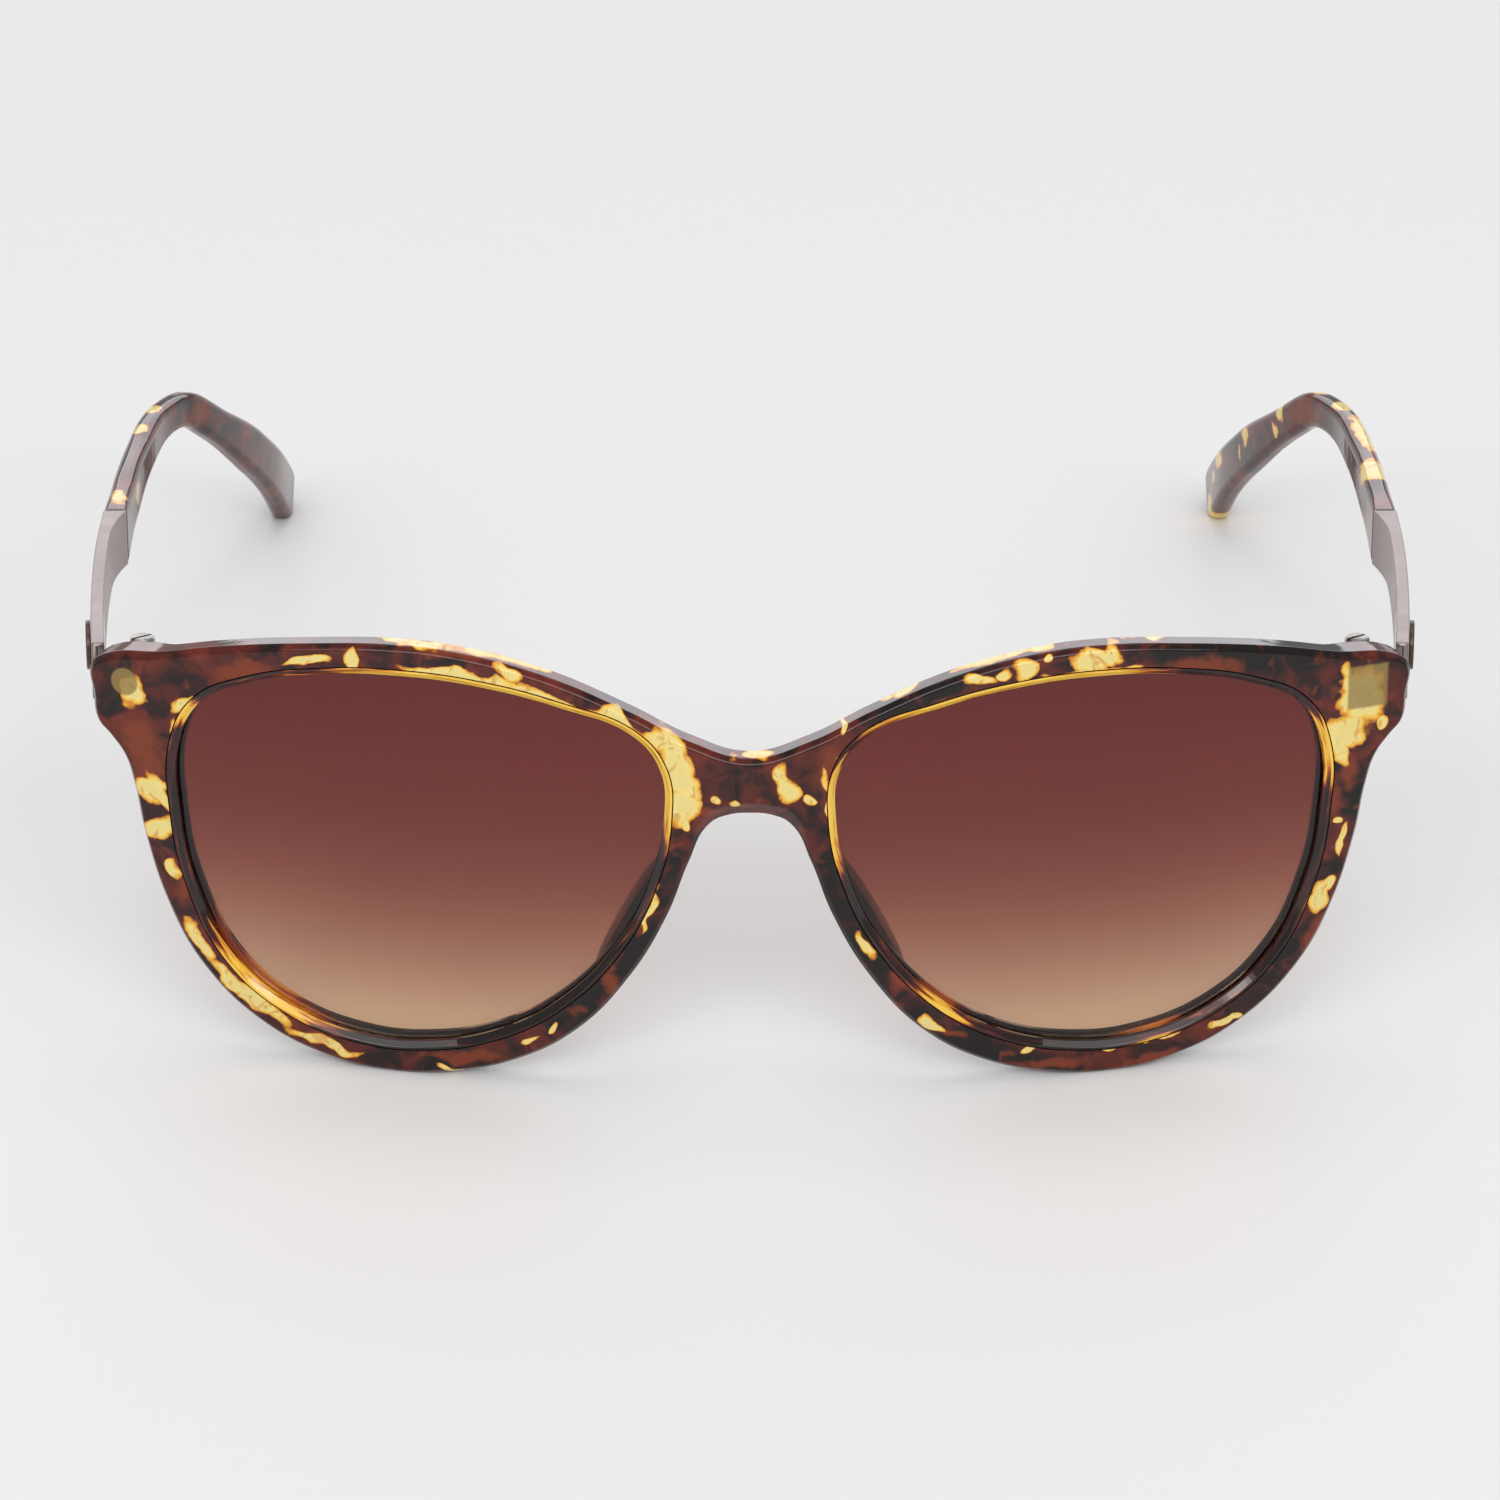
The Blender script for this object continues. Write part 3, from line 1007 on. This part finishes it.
def metal(name, colour, wear, roughness, metallic, grain=(0.4, 2.2, 2.2), scale=900.0,
          bump=4e-6):
    """Satin metal with fine lengthwise grain and slightly uneven tone."""
    tree = Tree(name)
    place = tree.add("ShaderNodeTexCoord").outputs["Object"]
    lines = tree.noise(tree.vector("MULTIPLY", place, grain), scale, 3.0, 0.6)
    tone = tree.noise(place, 160.0, 3.0, 0.55)
    mixed_tone = tree.maths("ADD", tree.maths("MULTIPLY", lines, 0.4),
                            tree.maths("MULTIPLY", tone, 0.6))
    return tree.principled({
        "Base Color": tree.mix(tree.spread(mixed_tone, 0.36, 0.64), colour, wear),
        "Metallic": metallic, "Normal": tree.bump(lines, bump),
        "Roughness": tree.spread(lines, 0.3, 0.7, roughness - 0.05, roughness + 0.07)})


# ---- stage, lights and camera

def make_stage():
    tree = Tree("studio_floor")
    place = tree.add("ShaderNodeTexCoord").outputs["Object"]
    tone = tree.noise(place, 1.4, 2.0)
    colour = tree.mix(tree.spread(tone, 0.3, 0.7), (0.80, 0.80, 0.80), (0.815, 0.812, 0.812))
    look = tree.principled({"Base Color": colour, "Roughness": 0.75, "Specular IOR Level": 0.2})
    mesh = bpy.data.meshes.new("studio_floor")
    half = 6.0
    mesh.from_pydata([(-half, -half, 0), (half, -half, 0), (half, half, 0), (-half, half, 0)], [],
                     [(0, 1, 2, 3)])
    mesh.materials.append(look)
    floor = linked("studio_floor", mesh)


def softbox(name, place, target, size, radiance, colour=(1, 1, 1)):
    light = bpy.data.lights.new(name, "AREA")
    light.shape = "RECTANGLE"
    light.size, light.size_y = size
    light.energy = radiance * pi * size[0] * size[1]
    light.color = colour
    lamp = linked(name, light)
    lamp.location = place
    way = Vector(target) - Vector(place)
    lamp.rotation_euler = way.to_track_quat("-Z", "Y").to_euler()


def make_light():
    world = bpy.data.worlds.new("studio")
    bpy.context.scene.world = world
    world.use_nodes = True
    sky = world.node_tree.nodes["Background"].inputs
    sky["Color"].default_value = (1.0, 1.0, 1.0, 1)
    sky["Strength"].default_value = 0.46
    softbox("back_box", (0, 1.5, 0.48), (0, 0, 0.02), (3.0, 0.5), 2.1, (0.96, 0.95, 1.0))
    softbox("edge_box", (0, -1.1, 0.8), (0, -0.05, 0.02), (1.4, 0.2), 5.0)
    softbox("front_box", (0, -1.3, 1.3), (0, 0, 0), (2.4, 1.0), 1.7)
    softbox("top_box", (0, 0.2, 1.5), (0, 0, 0), (1.2, 1.0), 1.4)


def make_camera():
    camera = bpy.data.cameras.new("camera")
    camera.sensor_width = 36.0
    camera.lens = 163.2
    camera.clip_start = 0.01
    holder = linked("camera", camera)
    holder.location = (0.0, -0.7103, 0.3805)
    holder.rotation_euler = (radians(62), 0, 0)
    bpy.context.scene.camera = holder


# ---- everything together

make_camera()
make_light()
make_stage()
bpy.context.scene.view_settings.view_transform = "Standard"

shells = [tortoise(f"tortoiseshell_{number}", in_sector(FRONT_PATCHES, low, high),
                   in_sector(FRONT_GLOWS, low, high), in_sector(FRONT_SHADES, low, high),
                   [shade for shade in HINGE_SHADES if low < shade[1][0] < high])
          for number, (low, high) in enumerate(zip((-99, *SECTORS), (*SECTORS, 99)))]
tip_shell = tortoise("tip_tortoiseshell", upright(TIP_PATCHES), upright(TIP_GLOWS), wander=0.7,
                     gloss=0.3)
pad_shell = tortoise("pad_tortoiseshell", [(-2.5, 1.5, 3, 1.4, 1.2, 3, 0)],
                     upright([(0, -2, 0, 6, 3.5, 9), (0, 3.5, 0, 6, 1.0, 9)]), wander=0.7)
tint = lens_tint()
taupe = metal("taupe_satin", (0.265, 0.215, 0.205), (0.33, 0.275, 0.265), 0.34, 0.75)
dark_cap = metal("dark_brown_cap", (0.075, 0.040, 0.036), (0.12, 0.07, 0.06), 0.3, 0.5)
steel = metal("hinge_steel", (0.62, 0.61, 0.59), (0.74, 0.73, 0.70), 0.30, 1.0, scale=400.0,
              bump=8e-7)
screw_steel = metal("screw_steel", (0.10, 0.095, 0.085), (0.62, 0.60, 0.56), 0.32, 1.0,
                    grain=(1.0, 1.0, 1.0), scale=1500.0, bump=3e-5)
brass = metal("anchor_brass", (0.62, 0.45, 0.18), (0.72, 0.55, 0.27), 0.3, 1.0)

make_front([*shells, rim_wall()])
for name, side in SIDES:
    make_lens(name, side, tint)
    make_nose_pad(name, side, pad_shell)
    make_temple(name, side, taupe, tip_shell)
    make_screw(name, side, screw_steel)
    make_rivet(name, side, dark_cap)
    for node in (f"front_hinge_{name}", f"temple_hinge_{name}", f"temple_core_{name}"):
        paint(frame["nodes"][node].data, steel)
    paint(frame["nodes"][f"hinge_anchor_{name}"].data, brass)
